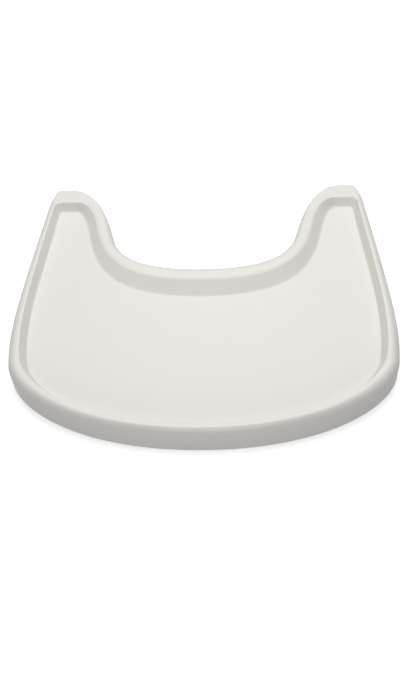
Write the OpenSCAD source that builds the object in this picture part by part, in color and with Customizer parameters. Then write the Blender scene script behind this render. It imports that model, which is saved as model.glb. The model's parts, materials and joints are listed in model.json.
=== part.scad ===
// Detachable tray of a baby high chair: one moulded shell, and under it two arm guides,
// each with a sprung latch bolt worked by a finger lever.
// Millimetres. The front edge faces -Y, the child sits at +Y, and z = 0 is the skirt's
// lower edge. The right-hand hardware is drawn at +X and mirrored for the left.

/* [Tray] */
// Height from the skirt's lower edge to the crest of the rim
tray_h = 40; // [34:1:60]
// Height of the floor's upper face
floor_z = 28; // [26:1:40]
// Thickness of the moulded walls
wall = 3; // [2:0.25:4]
// Radius rolled over the rim's outer edge
edge_r = 9; // [4:0.5:12]
// How far the skirt leans out between the rim and its lower edge
draft = 1; // [0:0.25:3]
// Height of the stiffening ribs under the floor
rib_h = 5; // [2:0.5:6]

/* [Chair arm] */
// Distance from the centre plane to the centre of a chair arm
arm_x = 178; // [172:0.5:184]
// Width of a chair arm
arm_w = 32; // [26:0.5:34]
// Thickness of a chair arm
arm_t = 10; // [8:0.5:10]
// Running clearance left around the arm, in all
arm_play = 1; // [0.5:0.25:2]

/* [Arm guide] */
// Front end of the guide
guide_y0 = 41; // [34:1:50]
// Rear end of the guide, where the arm enters
guide_y1 = 169; // [155:1:170]
// Height of the guide's underside above the skirt's lower edge
guide_z = 1; // [0.5:0.5:2]
// Depth of the lips that hold the arm up
lip_w = 5; // [3:0.5:7]
// Thickness of the soft strip on the guide's roof
pad_t = 1.5; // [1:0.25:2.5]

/* [Latch] */
// Position of the bolt along the guide
bolt_y = 113; // [108:1:116]
// Width and height of the bolt
bolt_size = [12, 7.5];
// How far the bolt withdraws
bolt_travel = 8.5; // [6:0.5:9]
// Distance from the lever's pivot to the post it pulls
lever_arm = 26; // [22:1:30]
// Diameter of the lever's pin
pin_d = 4; // [3:0.5:5]

/* [Fasteners] */
// Diameter of the screws' shanks
screw_d = 3.9; // [3:0.1:4.5]
// Diameter and height of the screws' heads
screw_head = [7, 2.4];

/* [Hidden] */

$fn = 32;

white = [0.93, 0.92, 0.90];
grey = [0.62, 0.63, 0.64];
soft = [0.35, 0.36, 0.38];
blue = [0.50, 0.66, 0.74];
steel = [0.75, 0.76, 0.78];

fit = 0.05;                     // running clearance on a side
gap = 0.4;                      // clearance between pieces that pass each other

// Half outlines from the front centre round to the cut-out's centre. Each anchor is
// [x, y, heading, handle behind, handle ahead].
skirt_path = [
    [0, -182.2, 0, 0, 151], [234.5, -84.3, 83, 40, 44], [209.6, 164, 99, 176, 5],
    [204.4, 176, 118, 6, 3], [199.6, 182, 142, 3, 1.2], [195.5, 183.4, 180, 3, 5],
    [178, 183.4, 180, 5, 32], [119, 105, 255, 48, 34], [0, 53, 180, 76, 0]];
crest_path = [
    [0, -168, 0, 0, 150], [219.5, -80, 78, 31, 49], [203, 146, 98, 110, 3],
    [202, 154, 99, 4, 3], [199.3, 160.3, 135, 3, 2.5], [194, 163, 180, 3, 5],
    [172, 163, 180, 5, 12], [140, 119, 258, 37, 60], [0, 35.5, 180, 91, 0]];
floor_path = [
    [0, -164.5, 0, 0, 150], [212.5, -80, 80, 31, 70], [197, 146, 96, 82, 3],
    [196, 151.5, 100, 4, 2], [193.6, 156.2, 138, 3, 2], [189, 157.5, 180, 3, 4],
    [174, 157.5, 180, 5, 11], [150, 108, 257, 31, 58], [0, 15.5, 180, 105, 0]];
path_steps = [16, 14, 2, 3, 3, 2, 8, 12];
// One number for each anchor. The edge rolled over the rim's outside reaches out and down by
// these shares of edge_r: deep and soft at the front, a crisp lip at the horn's end.
roll_out = [1, 1.25, 0.82, 0.42, 0.02, -0.04, -0.04, 0.9, 0.9];
roll_down = [3.3, 1.4, 1.1, 1, 1, 1, 1, 1, 1];
// Fillets at the crest's inner edge and round the floor
crest_fillet = [3, 2, 0.6, 0.6, 1.2, 3, 3, 5, 8.5];
floor_fillet = [1.5, 1.4, 1.6, 2, 2.5, 3, 3, 2, 1.4];
// Share of a crease, in place of a smooth start, where the crest meets the rolled edge
crease = [1, 0.1, 0, 0, 0, 0, 0, 0, 0];
// A cubic whose handles take this share of the radius follows a quarter round
quarter = 0.55;
// What a full crease adds to the drop of the cubic's two handles
crease_drop = [0.09, 0.2];
// How much of the inner wall each millimetre of the crest's fillet takes up
fillet_share = 0.022;

floor_under = floor_z - wall;
rim_under = tray_h - wall;

// Arm guide
channel_w = arm_w + arm_play;
lip_z = guide_z + wall;                     // face the arm rests on
roof_z = lip_z + arm_t + arm_play / 2 + pad_t;  // underside of the guide's roof
plate_z = roof_z + wall;                    // face the bosses bear on
guide_in = arm_x - channel_w / 2 - wall;    // inner wall's outer face
guide_out = arm_x + channel_w / 2 + wall;
ear_r = 5.5;
ear_x = [guide_in - 4.5, guide_out + 4.5];
ear_y = [guide_y0 + 18, guide_y1 - 20];
boss_d = 8;

// Latch, laid out from the bolt
bolt_nose = bolt_travel;                    // reach into the channel
bolt_l = 26.5;
bolt_x1 = guide_in + wall + bolt_nose;
bolt_x0 = bolt_x1 - bolt_l;
bolt_z = lip_z + 2;
bolt_top = bolt_z + bolt_size[1];
post_x = bolt_x0 + 4;                       // post the lever's fork embraces
post_y = bolt_y - bolt_size[0] / 2 - 6;
post_d = 5;
lever_x = post_x - bolt_travel / 2;         // pivot, so the swing is even about the middle
lever_y = post_y - lever_arm;
lever_swing = asin(bolt_travel / 2 / lever_arm);
lever_z = bolt_z + 0.5;
lever_t = 3.4;
cover_t = 2;
cover_z = guide_z + 1.5;
bay_z = cover_z + cover_t;                  // upper face of the cover
spring_d = 6.4;
spring_wire = 0.5;
spring_turns = 8;
spring_seat = bolt_x0 - 11;                 // face of the wall behind the spring
spring_pocket = 8;
cover_holes = [[lever_x - 12.5, lever_y + 12], [lever_x + 11, lever_y + 1],
    [bolt_x0 - 7, bolt_y + 11], [bolt_x0 + 10.5, bolt_y + 11]];

// ---- outlines ----

function mix(a, b, t) = a * (1 - t) + b * t;

function bezier(a, b, t) = let (
    p0 = [a[0], a[1]], p3 = [b[0], b[1]],
    p1 = p0 + a[4] * [cos(a[2]), sin(a[2])],
    p2 = p3 - b[3] * [cos(b[2]), sin(b[2])],
    u = 1 - t)
    u * u * u * p0 + 3 * u * u * t * p1 + 3 * u * t * t * p2 + t * t * t * p3;

// The right half of an outline: neighbours in the list are joined by between(a, b, t)
function half(list, between) = [
    for (i = [0 : len(list) - 2], k = [0 : path_steps[i] - 1])
        between(list[i], list[i + 1], k / path_steps[i]),
    between(list[len(list) - 2], list[len(list) - 1], 1)];

// Closes a half list round the centre plane; side is what mirroring does to an entry
function closed(list, side) = concat(list,
    [for (i = [len(list) - 2 : -1 : 1]) side(list[i])]);

function ring(path) = closed(half(path, function (a, b, t) bezier(a, b, t)),
    function (p) [-p[0], p[1]]);

// The values given for the anchors, blended between them all round the outline
function blend(values) = closed(half(values, function (a, b, t) mix(a, b, t)),
    function (v) v);

function unit(v) = v / norm(v);

// Moves each point of a ring outward by its entry in d
function grown(r, d) = let (n = len(r)) [
    for (i = [0 : n - 1]) let (t = unit(r[(i + 1) % n] - r[(i + n - 1) % n]))
        r[i] + d[i] * [t[1], -t[0]]];

// Edge of the flat floor, where the fillet to the rim's inner wall starts
function floor_ring() = grown(ring(floor_path), -blend(floor_fillet));

function level(r, z) = [for (p = r) [p[0], p[1], z]];

// Middle of a fillet that turns from a to b round a corner
function turned(a, corner, b) = a / 4 + corner / 2 + b / 4;

// ---- solids shared by the nodes ----

// Skin through a list of closed rings of equal length: capped at the first and the last,
// or joined from the last back to the first
module skin(rings, loop = false) {
    n = len(rings[0]);
    last = len(rings) - 1;
    polyhedron(
        points = [for (r = rings, p = r) p],
        faces = concat(
            [for (j = [0 : loop ? last : last - 1], i = [0 : n - 1])
                let (a = j * n, b = (j + 1) % (last + 1) * n, k = (i + 1) % n)
                    each [[a + i, a + k, b + k], [a + i, b + k, b + i]]],
            loop ? [] : [[for (i = [n - 1 : -1 : 0]) i], [for (i = [0 : n - 1]) last * n + i]]),
        convexity = 10);
}

module both() {
    children();
    mirror([1, 0, 0]) children();
}

module block(lo, hi) {
    translate(lo) cube(hi - lo);
}

module rod(x, y, z0, z1, d) {
    translate([x, y, z0]) cylinder(d = d, h = z1 - z0);
}

module ear_places() {
    for (x = ear_x, y = ear_y) translate([x, y, 0]) children();
}

// Pan-head screw driven upward: its head's bearing face at z = 0, a cross recess below
module screw(length) {
    recess = [4, 0.9, 1.2];
    difference() {
        union() {
            translate([0, 0, -screw_head[1]])
                cylinder(d1 = screw_head[0] - 1.6, d2 = screw_head[0], h = screw_head[1]);
            cylinder(d = screw_d, h = length - 1);
            translate([0, 0, length - 1]) cylinder(d1 = screw_d, d2 = screw_d / 2, h = 1);
        }
        for (a = [0, 90]) rotate(a)
            translate([-recess[0] / 2, -recess[1] / 2, -screw_head[1] - 0.1])
                cube([recess[0], recess[1], recess[2] + 0.1]);
    }
}

// ---- tray shell ----

// Rim, rolled edge and skirt as one loop of section, from the edge of the floor outward
module shell_rim() {
    skirt = ring(skirt_path);
    crest = ring(crest_path);
    base = ring(floor_path);
    roll = edge_r * blend(roll_out);
    down = edge_r * blend(roll_down);
    start = blend(crease);
    rim = grown(skirt, -roll);
    points = [0 : len(skirt) - 1];

    // Rim's inner wall, each point at its own share of the way from the floor to the crest
    function wall_at(share) = [for (i = points)
        mix([each base[i], floor_z], [each crest[i], tray_h], share[i])];
    // Rolled edge, at a step t from the crest to the skirt, set inward by s and down by d
    function rolled(t, s, d) = let (
        first = 3 * (1 - t) * (1 - t) * t,
        second = 3 * (1 - t) * t * t,
        last = t * t * t,
        out = quarter * first + second + last,
        edge = grown(rim, [for (r = roll) r * out - s]))
        [for (i = points) [each edge[i],
            tray_h - down[i] * (crease_drop[0] * start[i] * first
                + (1 - quarter + crease_drop[1] * start[i]) * second + last) - d]];
    function skirt_foot(inward) = level(grown(skirt, [for (i = points) draft - inward]), 0);

    floor_edge = level(floor_ring(), floor_z);
    wall_low = wall_at(blend(floor_fillet) / (tray_h - floor_z));
    wall_high = wall_at([for (f = blend(crest_fillet)) 1 - fillet_share * f]);
    crest_edge = level(grown(crest, blend(crest_fillet)), tray_h);
    skin(concat(
        [floor_edge,
            turned(floor_edge, level(base, floor_z), wall_low),
            wall_low,
            wall_high,
            turned(wall_high, level(crest, tray_h), crest_edge),
            crest_edge],
        [for (t = [0 : 0.2 : 1]) rolled(t, 0, 0)],
        [skirt_foot(0),
            skirt_foot(wall),
            rolled(1, wall, 0),
            rolled(0.5, wall * sin(45), wall * (1 - sin(45))),
            level(mix(crest, rim, 0.2), rim_under),
            level(mix(base, crest, 0.3), floor_under),
            level(floor_ring(), floor_under)]), loop = true);
}

// Stiffening ribs in a grid under the floor
module shell_ribs() {
    rib_t = 2;
    pitch = [70, 55];
    middle_y = -70;
    half_w = 190;
    ends_y = [-137, 3];
    z = floor_under - rib_h;
    // outer ribs are shorter, to follow the rounded front
    for (k = [-1 : 1]) let (y = middle_y + k * pitch[1], reach = half_w - abs(k) * pitch[1] / 3)
        block([-reach, y - rib_t / 2, z], [reach, y + rib_t / 2, floor_under + 1]);
    for (k = [-2 : 2]) let (x = k * pitch[0])
        block([x - rib_t / 2, ends_y[0] + abs(x) / 8, z],
            [x + rib_t / 2, ends_y[1], floor_under + 1]);
}

module tray_shell() {
    color(white) difference() {
        union() {
            shell_rim();
            translate([0, 0, floor_under]) linear_extrude(wall) polygon(floor_ring());
            shell_ribs();
            both() ear_places() rod(0, 0, plate_z, floor_under + 1, boss_d);
            // the rear pair stands under sloping walls, so it runs up into them
            both() for (x = ear_x) rod(x, ear_y[1], plate_z, floor_z + 2, boss_d);
        }
        both() {
            ear_places() rod(0, 0, plate_z - 1, floor_under + 1, screw_d + 2 * fit);
            // doorway for the chair arm in the horn's end
            block([arm_x - channel_w / 2 - 1, guide_y1 - 6, -1],
                [arm_x + channel_w / 2 + 1, guide_y1 + 20, roof_z + 1]);
        }
    }
}

// ---- arm guide ----

// Floor of the latch bay, tucked against the horn's inner skirt
module bay_outline() {
    hull() for (p = [cover_holes[0], cover_holes[2] + [-1, 0.5], [guide_in - 2, bolt_y + 11],
        [guide_in - 2, lever_y - 2], [lever_x, lever_y - 2]])
        translate(p) circle(r = 5);
}

module arm_guide() {
    difference() {
        union() {
            // channel
            block([guide_in, guide_y0, guide_z], [guide_out, guide_y1, plate_z]);
            // screw ears
            for (y = ear_y) hull() for (x = ear_x) rod(x, y, roof_z, plate_z, ear_r * 2);
            // latch bay: roof, posts for the cover, and walls that steer the bolt
            translate([0, 0, roof_z]) linear_extrude(wall) bay_outline();
            for (p = cover_holes) rod(p[0], p[1], bay_z, roof_z + 1, boss_d);
            block([spring_seat - 2.5, bolt_y - 7, bay_z], [spring_seat, bolt_y + 7, roof_z + 1]);
            block([spring_seat - 2.5, bolt_y + bolt_size[0] / 2 + gap, bay_z],
                [guide_in + 1, bolt_y + bolt_size[0] / 2 + gap + 2, roof_z + 1]);
            block([guide_in - 6, bolt_y - bolt_size[0] / 2 - gap - 2, bay_z],
                [guide_in + 1, bolt_y - bolt_size[0] / 2 - gap, roof_z + 1]);
        }
        // space for the arm, and the slot between the lips
        block([guide_in + wall, guide_y0 + wall, lip_z], [guide_out - wall, guide_y1 + 1, roof_z]);
        block([guide_in + wall + lip_w, guide_y0 + wall, guide_z - 1],
            [guide_out - wall - lip_w, guide_y1 + 1, lip_z + 1]);
        // window for the bolt
        block([guide_in - 1, bolt_y - bolt_size[0] / 2 - gap, bolt_z - gap],
            [guide_in + wall + 1, bolt_y + bolt_size[0] / 2 + gap, bolt_top + gap]);
        // holes
        ear_places() rod(0, 0, roof_z - 1, plate_z + 1, screw_d + 2 * fit);
        for (p = cover_holes) rod(p[0], p[1], bay_z - 1, roof_z + 1, screw_d + 2 * fit);
        rod(lever_x, lever_y, roof_z - 1, plate_z - 1, pin_d + 2 * fit);
        // hole for the bumper's stem
        translate([arm_x, guide_y0 - 1, lip_z + arm_t / 2]) rotate([-90, 0, 0])
            cylinder(d = 6.1, h = wall + 2);
    }
}

module arm_guide_right() { color(grey) arm_guide(); }
module arm_guide_left() { color(grey) mirror([1, 0, 0]) arm_guide(); }

// ---- soft pieces ----

// Strip bonded to the channel's roof, with cross grooves that grip the arm
module grip_strip() {
    difference() {
        block([arm_x - channel_w / 2 + 2, guide_y0 + 16, roof_z - pad_t],
            [arm_x + channel_w / 2 - 2, guide_y1 - 4, roof_z]);
        for (y = [guide_y0 + 22 : 8 : guide_y1 - 10])
            block([arm_x - channel_w / 2, y, roof_z - pad_t - 1],
                [arm_x + channel_w / 2, y + 2, roof_z - pad_t + 0.6]);
    }
}

module grip_strip_right() { color(soft) grip_strip(); }
module grip_strip_left() { color(soft) mirror([1, 0, 0]) grip_strip(); }

// Stop at the channel's blind end, held by a stem with a bulb behind the wall
module end_bumper() {
    translate([arm_x, guide_y0 + wall, lip_z + arm_t / 2]) rotate([-90, 0, 0]) {
        rotate_extrude() polygon([[0, 7], [0, -wall - 3], [2, -wall - 3], [3.8, -wall - 0.6],
            [3.8, -wall], [3, -wall], [3, 0], [4.6, 0], [4.6, 5], [3.4, 7]]);
    }
}

module end_bumper_right() { color(soft) end_bumper(); }
module end_bumper_left() { color(soft) mirror([1, 0, 0]) end_bumper(); }

// ---- latch ----

// Bolt with a ramp toward the arm's entry, a spring pocket, and a lug carrying the post
module latch_bolt() {
    half = bolt_size[0] / 2;
    difference() {
        union() {
            translate([0, 0, bolt_z]) linear_extrude(bolt_size[1]) polygon([
                [bolt_x0, bolt_y - half], [bolt_x1, bolt_y - half],
                [bolt_x1, bolt_y - half + 3], [bolt_x1 - bolt_nose + 0.5, bolt_y + half],
                [bolt_x0, bolt_y + half]]);
            block([post_x - 4, post_y - 3, lever_z + lever_t + 0.3],
                [post_x + 4, bolt_y, bolt_top]);
            rod(post_x, post_y, lever_z - 0.2, bolt_top, post_d);
        }
        translate([bolt_x0 - 1, bolt_y, bolt_z + bolt_size[1] / 2]) rotate([0, 90, 0])
            cylinder(d = spring_d + 0.5, h = spring_pocket + 1);
    }
}

module latch_bolt_right() { color(blue) latch_bolt(); }
module latch_bolt_left() { color(blue) mirror([1, 0, 0]) latch_bolt(); }

// Compression spring as a swept round wire
module latch_spring() {
    sides = 8;
    turn = 14;
    length = bolt_x0 + spring_pocket - spring_seat;
    r = (spring_d - spring_wire) / 2;
    total = spring_turns * turn;
    rings = [for (i = [0 : total]) let (a = i * 360 / turn,
        x = spring_wire / 2 + (length - spring_wire) * i / total)
        [for (k = [0 : sides - 1]) let (b = k * 360 / sides,
            q = r + spring_wire / 2 * cos(b))
            [x + spring_wire / 2 * sin(b), q * cos(a), q * sin(a)]]];
    translate([spring_seat, bolt_y, bolt_z + bolt_size[1] / 2]) skin(rings);
}

module latch_spring_right() { color(steel) latch_spring(); }
module latch_spring_left() { color(steel) mirror([1, 0, 0]) latch_spring(); }

// Lever: hub, forked arm round the bolt's post, and a finger paddle on the far side
module release_lever() {
    paddle_l = 30;
    translate([lever_x, lever_y, 0]) rotate(-lever_swing) difference() {
        union() {
            rod(0, 0, bay_z + gap, roof_z - gap, 10);
            translate([0, 0, lever_z]) linear_extrude(lever_t) {
                polygon([[-4.5, 0], [4.5, 0], [4.8, lever_arm + 3.5], [-4.8, lever_arm + 3.5]]);
                polygon([[-4.5, 0], [4.5, 0], [2.5, -14], [-2.5, -14]]);
            }
            translate([0, -12 - paddle_l / 2, bay_z + gap])
                linear_extrude(roof_z - bay_z - 4) offset(r = 1.5)
                    polygon([[-1, -paddle_l / 2], [1, -paddle_l / 2], [1, paddle_l / 2],
                        [-1, paddle_l / 2], [-3, 0]]);
        }
        rod(0, 0, 0, roof_z, pin_d + 2 * fit);
        // open slot of the fork
        block([-post_d / 2 - 0.15, lever_arm - 3.2, 0], [post_d / 2 + 0.15, lever_arm + 6, roof_z]);
    }
}

module release_lever_right() { color(blue) release_lever(); }
module release_lever_left() { color(blue) mirror([1, 0, 0]) release_lever(); }

module lever_pin() {
    rod(lever_x, lever_y, cover_z, plate_z - 1, pin_d);
    rod(lever_x, lever_y, cover_z - 1, cover_z, pin_d + 2.5);
}

module lever_pin_right() { color(steel) lever_pin(); }
module lever_pin_left() { color(steel) mirror([1, 0, 0]) lever_pin(); }

module latch_cover() {
    difference() {
        translate([0, 0, cover_z]) linear_extrude(cover_t) difference() {
            bay_outline();
            translate([guide_in - gap / 2, 0]) square([20, 200]);
        }
        for (p = cover_holes) rod(p[0], p[1], 0, roof_z, screw_d + 2 * fit);
        rod(lever_x, lever_y, 0, roof_z, pin_d + 2 * fit);
    }
}

module latch_cover_right() { color(grey) latch_cover(); }
module latch_cover_left() { color(grey) mirror([1, 0, 0]) latch_cover(); }

// ---- fasteners ----

module guide_screws() {
    ear_places() translate([0, 0, roof_z]) screw(9);
}

module guide_screws_right() { color(steel) guide_screws(); }
module guide_screws_left() { color(steel) mirror([1, 0, 0]) guide_screws(); }

module cover_screws() {
    for (p = cover_holes) translate([p[0], p[1], cover_z]) screw(10);
}

module cover_screws_right() { color(steel) cover_screws(); }
module cover_screws_left() { color(steel) mirror([1, 0, 0]) cover_screws(); }

tray_shell();
arm_guide_right();
arm_guide_left();
grip_strip_right();
grip_strip_left();
end_bumper_right();
end_bumper_left();
latch_bolt_right();
latch_bolt_left();
latch_spring_right();
latch_spring_left();
release_lever_right();
release_lever_left();
lever_pin_right();
lever_pin_left();
latch_cover_right();
latch_cover_left();
guide_screws_right();
guide_screws_left();
cover_screws_right();
cover_screws_left();
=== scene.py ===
"""The looks of a baby high chair's detachable tray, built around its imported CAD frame.

Metres, in the CAD's own frame: the front edge faces -Y, the child sits at +Y, and the
skirt's lower edge is z = 0. Sizes of the shell and the springs are written in millimetres,
as in their CAD, and become metres as their meshes are made.
"""

import json
import math

import bmesh
import bpy
import numpy as np
from mathutils import Euler, Matrix, Vector


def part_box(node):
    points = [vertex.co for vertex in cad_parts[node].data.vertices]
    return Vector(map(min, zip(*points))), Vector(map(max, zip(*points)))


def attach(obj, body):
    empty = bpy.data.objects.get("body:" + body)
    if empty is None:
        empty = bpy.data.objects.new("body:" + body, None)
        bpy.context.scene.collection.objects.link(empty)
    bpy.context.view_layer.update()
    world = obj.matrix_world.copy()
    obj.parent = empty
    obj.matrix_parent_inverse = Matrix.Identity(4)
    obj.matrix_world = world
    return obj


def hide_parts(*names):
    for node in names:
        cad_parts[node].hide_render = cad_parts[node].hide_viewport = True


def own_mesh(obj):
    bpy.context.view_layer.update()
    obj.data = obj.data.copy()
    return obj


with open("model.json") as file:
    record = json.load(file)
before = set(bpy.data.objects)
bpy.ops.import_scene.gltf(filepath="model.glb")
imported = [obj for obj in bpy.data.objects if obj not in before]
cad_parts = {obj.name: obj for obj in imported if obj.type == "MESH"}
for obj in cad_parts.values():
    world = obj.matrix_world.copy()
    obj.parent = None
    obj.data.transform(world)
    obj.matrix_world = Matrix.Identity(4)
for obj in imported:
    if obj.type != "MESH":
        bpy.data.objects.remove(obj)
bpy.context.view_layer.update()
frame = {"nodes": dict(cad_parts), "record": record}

MM = 0.001

# ---- shell: outlines from the front centre round to the cut-out's centre ----
# Each anchor is (x, y, heading in degrees, handle behind, handle ahead).
SKIRT = (
    (0, -182.2, 0, 0, 151), (234.5, -84.3, 83, 40, 44), (209.6, 164, 99, 176, 5),
    (204.4, 176, 118, 6, 3), (199.6, 182, 142, 3, 1.2), (195.5, 183.4, 180, 3, 5),
    (178, 183.4, 180, 5, 32), (119, 105, 255, 48, 34), (0, 53, 180, 76, 0),
)
CREST = (
    (0, -168, 0, 0, 150), (219.5, -80, 78, 31, 49), (203, 146, 98, 110, 3),
    (202, 154, 99, 4, 3), (199.3, 160.3, 135, 3, 2.5), (194, 163, 180, 3, 5),
    (172, 163, 180, 5, 12), (140, 119, 258, 37, 60), (0, 35.5, 180, 91, 0),
)
FLOOR = (
    (0, -164.5, 0, 0, 150), (212.5, -80, 80, 31, 70), (197, 146, 96, 82, 3),
    (196, 151.5, 100, 4, 2), (193.6, 156.2, 138, 3, 2), (189, 157.5, 180, 3, 4),
    (174, 157.5, 180, 5, 11), (150, 108, 257, 31, 58), (0, 15.5, 180, 105, 0),
)
STEPS = (48, 44, 8, 10, 10, 6, 24, 40)

# One number for each anchor. The edge rolled over the rim's outside reaches out and down by
# these shares of EDGE_R. The fillets at the crest's inner edge and round the floor are in mm.
ROLL_OUT = (1, 1.25, 0.82, 0.42, 0.02, -0.04, -0.04, 0.9, 0.9)
ROLL_DOWN = (3.3, 1.4, 1.1, 1, 1, 1, 1, 1, 1)
CREST_FILLET = (3, 2, 0.6, 0.6, 1.2, 3, 3, 5, 8.5)
FLOOR_FILLET = (1.5, 1.4, 1.6, 2, 2.5, 3, 3, 2, 1.4)
# Share of a crease, in place of a smooth start, where the crest meets the rolled edge
CREASE = (1, 0.1, 0, 0, 0, 0, 0, 0, 0)
# A cubic whose handles take this share of the radius follows a quarter round
QUARTER = 0.55
# What a full crease adds to the drop of the cubic's two handles
CREASE_DROP = (0.09, 0.2)
# How much of the inner wall each millimetre of the crest's fillet takes up
FILLET_SHARE = 0.022

TRAY_H = 40
FLOOR_Z = 28
WALL = 3
EDGE_R = 9
DRAFT = 1
EDGE_BREAK = 0.4

# Where the underside turns: shares of the way from the crest to the rim, and from the
# floor's edge to the crest
RIM_UNDER = 0.2
FLOOR_UNDER = 0.3

# Rings across each stretch of the section
FILLET_RINGS = 10
WALL_RINGS = 4
CREST_RINGS = 3
ROLL_RINGS = 18
SKIRT_RINGS = 8
BREAK_RINGS = 3
INSIDE_RINGS = 6

# ---- shell: ribs in a grid under the floor, screw bosses, doorways for the chair's arms ----
RIB_T = 2
RIB_H = 5
CROSS_RIBS_Y = (-125, -70, -15)
CROSS_RIB_REACH = 190
LONG_RIBS_X = (-140, -70, 0, 70, 140)
LONG_RIB_ENDS = (-137, 3)
# How far from the middle rib shortens a rib's end by 1 mm, to follow the rounded front
CROSS_RIB_TAPER = 3
LONG_RIB_TAPER = 8
BOSS_D = 8
BOSS_Z = 19
REAR_BOSS_RISE = 2              # above the floor, into the sloping wall it stands under
SCREW_HOLE = 4
SCREW_HEAD = 7
DOORWAY_Y = (-6, 20)            # its two ends, from the arm guide's rear end
DOORWAY_MARGIN = 1              # beyond the arm guide's channel, on a side
# How far one solid runs into the next, or a cut runs past what it cuts. The long ribs' tops
# stay out of the cross ribs' plane.
OVERLAP = 1
LONG_RIB_OVERLAP = 0.9
SAME_POINT = 0.0005             # points of a mesh closer than this are one

# ---- latch spring ----
SPRING_D = 6.4
SPRING_WIRE = 0.5
SPRING_TURNS = 8
CLOSED_TURNS = 1
RINGS_PER_TURN = 40
WIRE_SIDES = 12


def cubic(a, b, c, d, t):
    """The point, or ring of points, at t on the way from a to d, with handles b and c."""
    u = 1 - t
    return u**3 * a + 3 * u * u * t * b + 3 * u * t * t * c + t**3 * d


def bezier(a, b, t):
    """A point on the curve from anchor a to anchor b."""
    x0, y0, heading0, _, ahead = a
    x1, y1, heading1, behind, _ = b
    start = np.array((x0, y0), float)
    end = np.array((x1, y1), float)
    angle0 = math.radians(heading0)
    angle1 = math.radians(heading1)
    leaving = start + ahead * np.array((math.cos(angle0), math.sin(angle0)))
    arriving = end - behind * np.array((math.cos(angle1), math.sin(angle1)))
    return cubic(start, leaving, arriving, end, t)


def outline(path):
    """The whole closed outline, as an array of points, from its right half's anchors."""
    half = [
        bezier(a, b, k / steps)
        for a, b, steps in zip(path, path[1:], STEPS)
        for k in range(steps)
    ]
    half.append(np.array(path[-1][:2], float))
    return np.array(half + [p * (-1, 1) for p in half[-2:0:-1]])


def blend(values):
    """One number for each point of an outline, from one for each of its anchors."""
    half = [
        a + (b - a) * k / steps
        for a, b, steps in zip(values, values[1:], STEPS)
        for k in range(steps)
    ]
    half.append(values[-1])
    return np.array(half + half[-2:0:-1])


def grown(ring, d):
    """Moves each point outward by d, which is one number or one for each point."""
    along = np.roll(ring, -1, 0) - np.roll(ring, 1, 0)
    along /= np.linalg.norm(along, axis=1)[:, None]
    outward = np.column_stack((along[:, 1], -along[:, 0]))
    return ring + outward * np.broadcast_to(d, len(ring))[:, None]


def shrunk(ring, d, passes=6):
    """Moves each point inward by d, and evens out the bunching this leaves in tight corners."""
    ring = grown(ring, -d)
    for _ in range(passes):
        ring = (np.roll(ring, 1, 0) + 2 * ring + np.roll(ring, -1, 0)) / 4
    return ring


def level(ring, z):
    """The ring's points at one height, in three dimensions."""
    return np.column_stack((ring, np.full(len(ring), float(z))))


def line(a, b, steps):
    """Rings straight from a to b, without b itself."""
    return [a + (b - a) * k / steps for k in range(steps)]


def curve(a, b, c, d, steps):
    """Rings along a cubic from a to d, without d itself."""
    return [cubic(a, b, c, d, k / steps) for k in range(steps)]


def fillet(a, corner, b, steps):
    """Rings that turn from a to b round a corner, without b itself."""
    return curve(a, a + (corner - a) * 2 / 3, b + (corner - b) * 2 / 3, b, steps)


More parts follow.
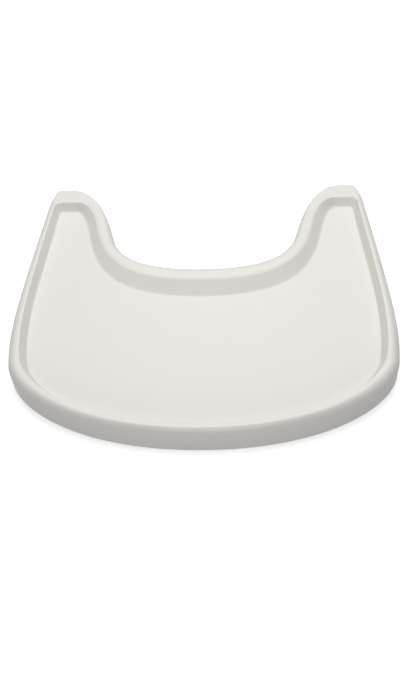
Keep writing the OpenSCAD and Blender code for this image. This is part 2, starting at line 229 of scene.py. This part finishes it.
def shell_section():
    """The shell's section as closed rings: floor's edge, wall, crest, rolled edge, skirt,
    and back inside to the floor's underside."""
    skirt = outline(SKIRT)
    crest = outline(CREST)
    base = outline(FLOOR)
    roll = EDGE_R * blend(ROLL_OUT)
    down = EDGE_R * blend(ROLL_DOWN)
    crest_fillet = blend(CREST_FILLET)
    floor_fillet = blend(FLOOR_FILLET)
    crease = blend(CREASE)
    rim = grown(skirt, -roll)
    rise = TRAY_H - FLOOR_Z

    def wall_at(share):
        """A ring at this share, or each point's own share, of the inner wall's height."""
        share = np.broadcast_to(share, len(base))[:, None]
        return level(base, FLOOR_Z) * (1 - share) + level(crest, TRAY_H) * share

    def rolled(out, drop):
        return np.column_stack((grown(rim, roll * out), TRAY_H - down * drop))

    def inside(ring, inward, drop):
        return np.column_stack((shrunk(ring[:, :2], inward), ring[:, 2] - drop))

    floor_edge = grown(base, -floor_fillet)
    crest_edge = level(grown(crest, crest_fillet), TRAY_H)
    wall_low = wall_at(floor_fillet / rise)
    wall_high = wall_at(1 - FILLET_SHARE * crest_fillet)
    roll_end = rolled(1, 1)
    roll_rings = curve(
        rolled(0, 0),
        rolled(QUARTER, CREASE_DROP[0] * crease),
        rolled(1, 1 - QUARTER + CREASE_DROP[1] * crease),
        roll_end,
        ROLL_RINGS,
    )
    turned = [math.sin(math.pi / 2 * k / ROLL_RINGS) for k in range(ROLL_RINGS)]
    under_roll = [inside(r, WALL * t, WALL * (1 - t)) for r, t in zip(roll_rings, turned)]

    # The skirt's foot, with its outer and inner edges broken
    foot = grown(skirt, DRAFT)
    foot_sole = level(grown(foot, -EDGE_BREAK), 0)
    foot_inside = shrunk(skirt, WALL - DRAFT)
    foot_sole_inside = level(shrunk(skirt, WALL - DRAFT - EDGE_BREAK), 0)

    rings = fillet(level(floor_edge, FLOOR_Z), wall_at(0), wall_low, FILLET_RINGS)
    rings += line(wall_low, wall_high, WALL_RINGS)
    rings += fillet(wall_high, wall_at(1), crest_edge, FILLET_RINGS)
    rings += line(crest_edge, rolled(0, 0), CREST_RINGS)
    rings += roll_rings
    rings += line(roll_end, level(foot, EDGE_BREAK), SKIRT_RINGS)
    rings += fillet(level(foot, EDGE_BREAK), level(foot, 0), foot_sole, BREAK_RINGS)
    rings.append(foot_sole)
    rings += fillet(foot_sole_inside, level(foot_inside, 0), level(foot_inside, EDGE_BREAK),
                    BREAK_RINGS)
    rings += line(level(foot_inside, EDGE_BREAK), inside(roll_end, WALL, 0), INSIDE_RINGS)
    rings += under_roll[:0:-1]
    rings.append(level(crest + (rim - crest) * RIM_UNDER, TRAY_H - WALL))
    rings.append(level(base + (crest - base) * FLOOR_UNDER, FLOOR_Z - WALL))
    rings.append(level(floor_edge, FLOOR_Z - WALL))
    return rings


def add_object(name, mesh):
    piece = bpy.data.objects.new(name, mesh)
    bpy.context.scene.collection.objects.link(piece)
    return piece


def mesh_from(name, points, faces):
    mesh = bpy.data.meshes.new(name)
    mesh.from_pydata([tuple(p) for p in points], [], faces)
    mesh.update()
    return mesh


def skin_mesh(name, rings):
    """A closed solid through rings of equal length, capped at the first and the last."""
    n = len(rings[0])
    faces = [
        (j * n + i, j * n + (i + 1) % n, (j + 1) * n + (i + 1) % n, (j + 1) * n + i)
        for j in range(len(rings) - 1)
        for i in range(n)
    ]
    faces.append(tuple(range(n))[::-1])
    faces.append(tuple((len(rings) - 1) * n + i for i in range(n)))
    return mesh_from(name, np.concatenate(rings) * MM, faces)


def solids_mesh(name, solids):
    """One mesh of upright solids, each a closed outline in mm and its lower and upper z."""
    points = []
    faces = []
    for ring, z0, z1 in solids:
        n = len(ring)
        first = len(points)
        points += [(x * MM, y * MM, z * MM) for z in (z0, z1) for x, y in ring]
        faces.append(tuple(first + i for i in range(n))[::-1])
        faces.append(tuple(first + n + i for i in range(n)))
        faces += [
            (first + i, first + (i + 1) % n, first + n + (i + 1) % n, first + n + i)
            for i in range(n)
        ]
    return mesh_from(name, points, faces)


def oblong(x0, x1, y0, y1):
    return [(x0, y0), (x1, y0), (x1, y1), (x0, y1)]


def circle(x, y, d, steps=32):
    return [
        (x + d / 2 * math.cos(math.tau * k / steps), y + d / 2 * math.sin(math.tau * k / steps))
        for k in range(steps)
    ]


def combine(piece, tool, operation):
    """Adds or cuts the tool's shape in the piece's mesh, and drops the tool."""
    change = piece.modifiers.new(operation.lower(), "BOOLEAN")
    change.operation = operation
    change.solver = "EXACT"
    change.object = tool
    graph = bpy.context.evaluated_depsgraph_get()
    mesh = bpy.data.meshes.new_from_object(piece.evaluated_get(graph))
    piece.modifiers.clear()
    piece.data = mesh
    bpy.data.objects.remove(tool)


def drop_flaps(mesh):
    """Drops the pairs of faces, back to back on the same corners, that cuts can leave."""
    work = bmesh.new()
    work.from_mesh(mesh)
    bmesh.ops.remove_doubles(work, verts=work.verts, dist=SAME_POINT * MM)
    bmesh.ops.triangulate(work, faces=[face for face in work.faces if len(face.verts) > 4])
    same_corners = {}
    for face in work.faces:
        same_corners.setdefault(frozenset(v.index for v in face.verts), []).append(face)
    flaps = [face for faces in same_corners.values() if len(faces) > 1 for face in faces]
    bmesh.ops.delete(work, geom=flaps, context="FACES")
    work.to_mesh(mesh)
    work.free()


def shade(piece, angle=30):
    piece.data.shade_smooth()
    piece.data.set_sharp_from_angle(angle=math.radians(angle))


def in_mm(node):
    low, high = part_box(node)
    return [v / MM for v in low], [v / MM for v in high]


def both(solids):
    """The solids of one side, and their mirror images across the centre plane."""
    mirrored = [([(-x, y) for x, y in ring[::-1]], z0, z1) for ring, z0, z1 in solids]
    return solids + mirrored


def shell_details():
    """What the plain section lacks: two lots of solids to add under the floor, of which no
    two in a lot cross, and the solids to cut."""
    under = FLOOR_Z - WALL
    middle = CROSS_RIBS_Y[1]
    cross_ribs = []
    for y in CROSS_RIBS_Y:
        reach = CROSS_RIB_REACH - abs(y - middle) / CROSS_RIB_TAPER
        ring = oblong(-reach, reach, y - RIB_T / 2, y + RIB_T / 2)
        cross_ribs.append((ring, under - RIB_H, under + OVERLAP))
    front, rear = LONG_RIB_ENDS
    long_ribs = []
    for x in LONG_RIBS_X:
        ring = oblong(x - RIB_T / 2, x + RIB_T / 2, abs(x) / LONG_RIB_TAPER + front, rear)
        long_ribs.append((ring, under - RIB_H, under + LONG_RIB_OVERLAP))

    screws_low, screws_high = in_mm("guide_screws_right")
    columns = (screws_low[0] + SCREW_HEAD / 2, screws_high[0] - SCREW_HEAD / 2)
    rows = (screws_low[1] + SCREW_HEAD / 2, screws_high[1] - SCREW_HEAD / 2)
    tops = (under + OVERLAP, FLOOR_Z + REAR_BOSS_RISE)
    bosses = [
        (circle(x, y, BOSS_D), BOSS_Z, top)
        for x in columns for y, top in zip(rows, tops)
    ]
    holes = [
        (circle(x, y, SCREW_HOLE), BOSS_Z - OVERLAP, under + OVERLAP)
        for x in columns for y in rows
    ]

    guide_low, guide_high = in_mm("arm_guide_right")
    inset = WALL - DOORWAY_MARGIN
    doorway = oblong(guide_low[0] + inset, guide_high[0] - inset,
                     guide_high[1] + DOORWAY_Y[0], guide_high[1] + DOORWAY_Y[1])
    cut = holes + [(doorway, -OVERLAP, guide_high[2] - inset)]
    return cross_ribs, long_ribs + both(bosses), both(cut)


def build_shell():
    shell = add_object("moulded_shell", skin_mesh("moulded_shell", shell_section()))
    cross_ribs, uprights, cut = shell_details()
    combine(shell, add_object("cross_ribs", solids_mesh("cross_ribs", cross_ribs)), "UNION")
    combine(shell, add_object("uprights", solids_mesh("uprights", uprights)), "UNION")
    combine(shell, add_object("cut", solids_mesh("cut", cut)), "DIFFERENCE")
    drop_flaps(shell.data)
    # The finer outline bulges a little past the CAD's facets, so it is held to the CAD's box
    low, high = (np.array(v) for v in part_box("tray_shell"))
    points = np.array([v.co for v in shell.data.vertices])
    shell.data.vertices.foreach_set("co", np.clip(points, low, high).ravel())
    shade(shell)
    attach(shell, "tray")
    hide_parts("tray_shell")
    return shell


def build_spring(side):
    """A fine round wire wound like the CAD's spring, with closed coils at its ends."""
    node = f"latch_spring_{side}"
    low, high = in_mm(node)
    y = (low[1] + high[1]) / 2
    z = (low[2] + high[2]) / 2
    length = high[0] - low[0] - SPRING_WIRE
    open_coils = SPRING_TURNS - 2 * CLOSED_TURNS
    pitch = (length - 2 * CLOSED_TURNS * SPRING_WIRE) / open_coils
    reach = (SPRING_D - SPRING_WIRE) / 2
    around_wire = [math.tau * k / WIRE_SIDES for k in range(WIRE_SIDES)]
    rings = []
    for i in range(SPRING_TURNS * RINGS_PER_TURN + 1):
        turns = i / RINGS_PER_TURN
        open_turns = min(max(turns - CLOSED_TURNS, 0), open_coils)
        x = low[0] + SPRING_WIRE / 2 + (turns - open_turns) * SPRING_WIRE + open_turns * pitch
        across = np.array((0, math.cos(math.tau * turns), math.sin(math.tau * turns)))
        rings.append(np.array([
            np.array((x + SPRING_WIRE / 2 * math.sin(a), y, z))
            + across * (reach + SPRING_WIRE / 2 * math.cos(a))
            for a in around_wire
        ]))
    spring = add_object(f"wound_spring_{side}", skin_mesh(f"wound_spring_{side}", rings))
    shade(spring, 50)
    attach(spring, "tray")
    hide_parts(node)
    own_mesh(spring)
    return spring


shell = build_shell()
springs = [build_spring(side) for side in ("right", "left")]


# ---- materials ----
# A Mix node has a set of sockets for each type of data, and these are its colours'.
MIX_FACTOR = 0
MIX_A = 6
MIX_B = 7
MIX_RESULT = 2


def principled(name, colour, roughness):
    """A node material with its Principled shader, ready for more nodes."""
    material = bpy.data.materials.new(name)
    material.use_nodes = True
    shader = material.node_tree.nodes["Principled BSDF"]
    shader.inputs["Base Color"].default_value = (*colour, 1)
    shader.inputs["Roughness"].default_value = roughness
    return material, shader


def moulded(name, colour, roughness, grain_mm, grain_depth_mm, mottle=0.02, translucence=0.1):
    """Injection-moulded plastic or rubber: a fine spark-eroded grain, faint flow mottling in
    the colour, light that enters a little way, and a finish that varies over the surface."""
    material, shader = principled(name, colour, roughness)
    tree = material.node_tree
    add = tree.nodes.new
    link = tree.links.new
    where = add("ShaderNodeTexCoord")
    shader.inputs["Subsurface Weight"].default_value = translucence
    shader.inputs["Subsurface Radius"].default_value = (1, 0.85, 0.7)
    shader.inputs["Subsurface Scale"].default_value = 0.004

    grain = add("ShaderNodeTexNoise")
    grain.inputs["Scale"].default_value = 1 / (grain_mm * MM)
    grain.inputs["Detail"].default_value = 2
    link(where.outputs["Object"], grain.inputs["Vector"])
    bump = add("ShaderNodeBump")
    bump.inputs["Strength"].default_value = 1
    bump.inputs["Distance"].default_value = grain_depth_mm * MM
    link(grain.outputs["Fac"], bump.inputs["Height"])
    link(bump.outputs["Normal"], shader.inputs["Normal"])

    flow = add("ShaderNodeTexNoise")
    flow.inputs["Scale"].default_value = 9
    flow.inputs["Detail"].default_value = 3
    flow.inputs["Distortion"].default_value = 0.6
    link(where.outputs["Object"], flow.inputs["Vector"])
    tint = add("ShaderNodeMix")
    tint.data_type = "RGBA"
    tint.inputs[MIX_A].default_value = (*(c * (1 - mottle) for c in colour), 1)
    tint.inputs[MIX_B].default_value = (*(min(1, c * (1 + mottle)) for c in colour), 1)
    link(flow.outputs["Fac"], tint.inputs[MIX_FACTOR])
    link(tint.outputs[MIX_RESULT], shader.inputs["Base Color"])

    finish = add("ShaderNodeMapRange")
    finish.inputs["To Min"].default_value = roughness - 0.05
    finish.inputs["To Max"].default_value = roughness + 0.05
    link(flow.outputs["Fac"], finish.inputs["Value"])
    link(finish.outputs["Result"], shader.inputs["Roughness"])
    return material


def metal(name, colour, roughness, stretch):
    """Bare or plated steel with fine marks, longest along an axis whose stretch is small."""
    material, shader = principled(name, colour, roughness)
    shader.inputs["Metallic"].default_value = 1
    tree = material.node_tree
    add = tree.nodes.new
    link = tree.links.new
    where = add("ShaderNodeTexCoord")
    scale = add("ShaderNodeMapping")
    scale.inputs["Scale"].default_value = stretch
    link(where.outputs["Object"], scale.inputs["Vector"])
    marks = add("ShaderNodeTexNoise")
    marks.inputs["Scale"].default_value = 2500
    marks.inputs["Detail"].default_value = 3
    link(scale.outputs["Vector"], marks.inputs["Vector"])
    bump = add("ShaderNodeBump")
    bump.inputs["Strength"].default_value = 0.5
    bump.inputs["Distance"].default_value = 0.01 * MM
    link(marks.outputs["Fac"], bump.inputs["Height"])
    link(bump.outputs["Normal"], shader.inputs["Normal"])
    finish = add("ShaderNodeMapRange")
    finish.inputs["To Min"].default_value = roughness - 0.08
    finish.inputs["To Max"].default_value = roughness + 0.08
    link(marks.outputs["Fac"], finish.inputs["Value"])
    link(finish.outputs["Result"], shader.inputs["Roughness"])
    return material


def shell_plastic():
    return moulded("shell_plastic", (0.732, 0.71, 0.676), roughness=0.42,
                   grain_mm=0.5, grain_depth_mm=0.01, translucence=0.3)


def guide_plastic():
    return moulded("guide_plastic", (0.34, 0.345, 0.35), roughness=0.5,
                   grain_mm=0.6, grain_depth_mm=0.02)


def latch_plastic():
    return moulded("latch_plastic", (0.105, 0.118, 0.13), roughness=0.45,
                   grain_mm=0.5, grain_depth_mm=0.015)


def soft_grip():
    material = moulded("soft_grip", (0.035, 0.037, 0.04), roughness=0.8,
                       grain_mm=0.35, grain_depth_mm=0.03, mottle=0.12)
    shader = material.node_tree.nodes["Principled BSDF"]
    shader.inputs["Sheen Weight"].default_value = 0.1
    return material


def spring_steel():
    return metal("spring_steel", (0.56, 0.56, 0.57), roughness=0.3, stretch=(1, 1, 1))


def plated_steel():
    return metal("plated_steel", (0.66, 0.66, 0.68), roughness=0.32, stretch=(1, 1, 0.15))


MATERIALS = {
    "shell_plastic": shell_plastic(),
    "guide_plastic": guide_plastic(),
    "latch_plastic": latch_plastic(),
    "soft_grip": soft_grip(),
    "spring_steel": spring_steel(),
    "plated_steel": plated_steel(),
}


def paint(piece, slot):
    piece.data.materials.clear()
    piece.data.materials.append(MATERIALS[slot])


paint(shell, "shell_plastic")
for spring in springs:
    paint(spring, "spring_steel")


def break_edges(piece):
    """Small bevels that catch the light, on flats freed of the seams between their facets."""
    weld = piece.modifiers.new("weld", "WELD")
    weld.merge_threshold = 0.002 * MM
    flats = piece.modifiers.new("flats", "DECIMATE")
    flats.decimate_type = "DISSOLVE"
    flats.angle_limit = math.radians(0.5)
    edges = piece.modifiers.new("edges", "BEVEL")
    edges.width = 0.2 * MM
    edges.segments = 2
    edges.limit_method = "ANGLE"
    edges.angle_limit = math.radians(50)
    edges.harden_normals = True


replaced = {"tray_shell", "latch_spring_right", "latch_spring_left"}
for subpart in frame["record"]["subparts"]:
    node = subpart["node"]
    if node in replaced:
        continue
    paint(frame["nodes"][node], subpart["material_slot"])
    # The guides' smallest facets leave no room for a bevel
    if not node.startswith("arm_guide"):
        break_edges(frame["nodes"][node])


# ---- floor, lights and camera ----
FLOOR_R = 3
PINHOLE_R = 0.001               # in the floor's middle, where the tray covers it
COVE_R = 2
BACKDROP_H = 5


def paper_mesh(name, profile, sides=96):
    """A sheet of revolution about the z axis, through (radius, height) pairs in metres."""
    points = [
        (r * math.cos(math.tau * i / sides), r * math.sin(math.tau * i / sides), z)
        for r, z in profile for i in range(sides)
    ]
    faces = [
        (j * sides + i, j * sides + (i + 1) % sides, (j + 1) * sides + (i + 1) % sides,
         (j + 1) * sides + i)
        for j in range(len(profile) - 1) for i in range(sides)
    ]
    return mesh_from(name, points, faces)


cove = [
    (FLOOR_R + COVE_R * math.sin(math.radians(a)), COVE_R * (1 - math.cos(math.radians(a))))
    for a in range(0, 91, 6)
]
backdrop_profile = cove + [(FLOOR_R + COVE_R, BACKDROP_H)]
floor = add_object("floor", paper_mesh("floor", [(PINHOLE_R, 0), (FLOOR_R, 0)]))
backdrop = add_object("backdrop", paper_mesh("backdrop", backdrop_profile))
paper, paper_shader = principled("floor_paper", (0.93, 0.93, 0.93), 0.9)
# Lit from behind, as a light table is, so shadows on it stay pale
paper_shader.inputs["Emission Color"].default_value = (1, 1, 1, 1)
paper_shader.inputs["Emission Strength"].default_value = 0.42
for sheet in (floor, backdrop):
    sheet.data.materials.append(paper)
    shade(sheet)
    # It throws no light back up, so the skirt's lower edge keeps its shade
    sheet.visible_diffuse = False
backdrop.visible_shadow = False


def soft_light(name, place, target, size, power):
    light = bpy.data.lights.new(name, "AREA")
    light.shape = "DISK"
    light.size = size
    light.energy = power
    lamp = bpy.data.objects.new(name, light)
    lamp.location = place
    lamp.rotation_euler = (Vector(target) - Vector(place)).to_track_quat("-Z", "Y").to_euler()
    bpy.context.scene.collection.objects.link(lamp)


soft_light("overhead", place=(0, 0.75, 1.8), target=(0, 0, 0), size=1.7, power=32)
soft_light("front_fill", place=(0, -1.6, 0.4), target=(0, 0, 0.02), size=0.6, power=7.5)


def sky(zenith, horizon):
    """A white room that is darker toward its walls than overhead."""
    world = bpy.data.worlds.new("studio")
    world.use_nodes = True
    tree = world.node_tree
    background = tree.nodes["Background"]
    where = tree.nodes.new("ShaderNodeTexCoord")
    axes = tree.nodes.new("ShaderNodeSeparateXYZ")
    height = tree.nodes.new("ShaderNodeMapRange")
    height.inputs["To Min"].default_value = horizon
    height.inputs["To Max"].default_value = zenith
    background.inputs["Color"].default_value = (1, 1, 1, 1)
    tree.links.new(where.outputs["Generated"], axes.inputs["Vector"])
    tree.links.new(axes.outputs["Z"], height.inputs["Value"])
    tree.links.new(height.outputs["Result"], background.inputs["Strength"])
    return world


bpy.context.scene.world = sky(zenith=0.34, horizon=0.15)
bpy.context.scene.view_settings.view_transform = "Standard"

AZIMUTH = math.radians(5.2)
ELEVATION = math.radians(56.0)
AIM = Vector((0, 0.004, 0.020))
DISTANCE = 1.100
ROLL = math.radians(5.11)
PAN = math.radians(-0.269)
TILT = math.radians(2.786)
LENS_MM = 44.94
SENSOR_MM = 36

camera = bpy.data.objects.new("camera", bpy.data.cameras.new("camera"))
camera.data.sensor_width = SENSOR_MM
camera.data.lens = LENS_MM
camera.data.clip_start = 0.01
look = Euler((math.pi / 2 - ELEVATION, 0, AZIMUTH)).to_matrix()
turn = (Matrix.Rotation(-PAN, 3, "Y") @ Matrix.Rotation(-TILT, 3, "X")
        @ Matrix.Rotation(-ROLL, 3, "Z"))
place = AIM + look @ Vector((0, 0, DISTANCE))
camera.matrix_world = Matrix.Translation(place) @ (look @ turn).to_4x4()
bpy.context.scene.collection.objects.link(camera)
bpy.context.scene.camera = camera
